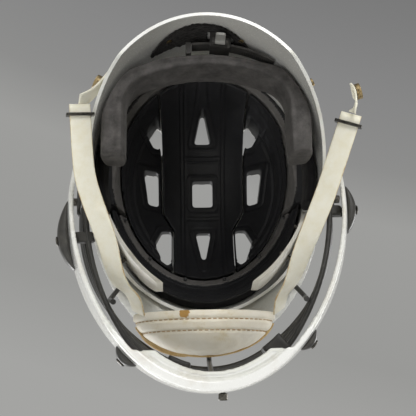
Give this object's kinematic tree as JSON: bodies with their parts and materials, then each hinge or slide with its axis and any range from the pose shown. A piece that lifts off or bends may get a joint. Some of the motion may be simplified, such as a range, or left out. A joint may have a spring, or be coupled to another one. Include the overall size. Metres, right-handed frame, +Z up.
{
  "type": "lacrosse helmet",
  "caption": "Lacrosse helmet with vented shell, visor, wire face mask, chin guard, padded liner, rear fit adjuster, chin cup and snap straps.",
  "frame": {"origin": "on the floor in the helmet's middle plane, halfway along the overall length; the chin guard's lip and the shell's rear rim stand at z = 0", "axes": "+Z up towards the crown, -Y the way the face looks, +X the wearer's left"},
  "size_m": [0.2731, 0.3339, 0.262],
  "materials": {
    "white_shell": "gloss",
    "white_flap": "satin",
    "coated_wire": "satin",
    "dark_rubber": "satin",
    "screw_metal": "satin",
    "black_foam": "matte",
    "grey_foam": "matte",
    "grey_felt": "matte",
    "black_velvet": "matte",
    "dark_plastic": "satin",
    "grey_plastic": "satin",
    "cup_leather": "satin",
    "cup_foam": "matte",
    "cream_webbing": "matte",
    "snap_brass": "satin"
  },
  "bodies": {
    "helmet": {"shell": "white_shell", "visor": "white_shell", "chin_guard": "white_shell", "jaw_flap_left": "white_flap", "jaw_flap_right": "white_flap", "mask_top_bar": "coated_wire", "mask_bar_bottom": "coated_wire", "mask_bar_lower": "coated_wire", "mask_bar_middle": "coated_wire", "mask_bar_upper": "coated_wire", "mask_centre_post": "coated_wire", "mask_side_post_left": "coated_wire", "mask_side_post_right": "coated_wire", "mask_end_wire_left": "coated_wire", "mask_end_wire_right": "coated_wire", "arm_clip_left": "dark_rubber", "arm_clip_right": "dark_rubber", "front_clip_left": "dark_rubber", "front_clip_right": "dark_rubber", "corner_tab_left": "dark_rubber", "corner_tab_right": "dark_rubber", "side_hook_left": "dark_rubber", "side_hook_right": "dark_rubber", "mask_clip_left": "dark_rubber", "mask_clip_right": "dark_rubber", "visor_clips": "dark_rubber", "guard_screws": "screw_metal", "front_nut": "screw_metal", "visor_screws": "screw_metal", "mask_clip_screws": "screw_metal", "jaw_flap_screws": "screw_metal", "lever_pin": "screw_metal", "adjuster_rivets": "screw_metal", "strap_slider_left": "screw_metal", "liner_spine": "black_foam", "liner_side_left": "black_foam", "liner_side_right": "black_foam", "brow_pad": "black_foam", "foam_ring_left": "grey_foam", "foam_ring_right": "grey_foam", "brow_pegs": "grey_foam", "side_pad_left": "black_velvet", "side_pad_right": "black_velvet", "fleece_strip": "black_velvet", "adjuster_buckle": "dark_plastic", "chin_cup": "cup_leather", "chin_cup_lining": "cup_foam", "chin_strap_left": "cream_webbing", "chin_strap_right": "cream_webbing", "snap_tab_left": "cream_webbing", "snap_studs": "snap_brass", "snap_cap_left": "snap_brass"},
    "rear_cushion": {"rear_pad": "grey_felt", "rear_pad_carrier": "dark_plastic"},
    "ratchet": {"adjuster_strap": "dark_plastic"},
    "lever": {"release_lever": "grey_plastic"},
    "free_slider": {"strap_slider_right": "screw_metal"},
    "free_tab": {"snap_tab_right": "cream_webbing", "snap_cap_right": "snap_brass"}
  },
  "joints": [
    {"name": "ratchet_turn", "type": "hinge", "parent": "helmet", "child": "ratchet", "pos_m": [0, 0.031, 0.0405], "axis": [0, 0, 1], "range_deg": [0, 6]},
    {"name": "rear_cushion_slide", "type": "slide", "parent": "helmet", "child": "rear_cushion", "axis": [0, -1, 0], "range_m": [0, 0.0076]},
    {"name": "lever_hinge", "type": "hinge", "parent": "helmet", "child": "lever", "pos_m": [-0.01336, 0.14824, 0.0286], "axis": [-0.9936, -0.1132, 0], "range_deg": [0, 35], "stiffness_Nm_per_rad": 0.004, "springref_deg": -5.73},
    {"name": "free_slider_slide", "type": "slide", "parent": "helmet", "child": "free_slider", "axis": [0.3236, -0.9175, 0.2312], "range_m": [0, 0.02]},
    {"name": "free_tab_hinge", "type": "hinge", "parent": "helmet", "child": "free_tab", "pos_m": [-0.124, 0.0701, 0.0121], "axis": [-0.9065, -0.3707, -0.2023], "range_deg": [-20, 20]}
  ],
  "couplings": [
    {"joint": "rear_cushion_slide", "follows": "ratchet_turn", "m_per_rad": 0.0716}
  ]
}
